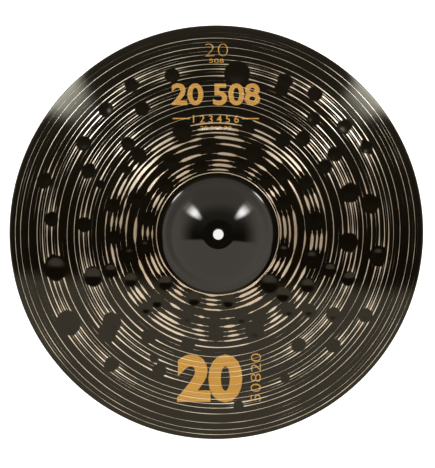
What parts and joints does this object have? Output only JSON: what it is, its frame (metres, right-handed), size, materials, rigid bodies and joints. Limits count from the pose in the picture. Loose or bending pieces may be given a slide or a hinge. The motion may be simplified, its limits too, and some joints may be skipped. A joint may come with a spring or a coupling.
{
  "type": "crash cymbal",
  "caption": "Round bronze crash cymbal with a raised bell, a mounting hole and a shallow hammered bow, in a dark gloss finish with pale lathe lines.",
  "frame": {"origin": "on the axis of the mounting hole, in the plane that the rim stands on when the cymbal lies on a table", "axes": "+Z along the axis of the mounting hole, from the hollow side towards the bell; X and Y are equal, as the disc is a body of revolution"},
  "size_m": [0.508, 0.508, 0.0427],
  "materials": {
    "dark_bronze": "near-black gloss lacquer over hammered bronze, cut through by fine lathe grooves that show pale bare bronze"
  },
  "bodies": {
    "root": {"cymbal": "dark_bronze"}
  },
  "joints": []
}
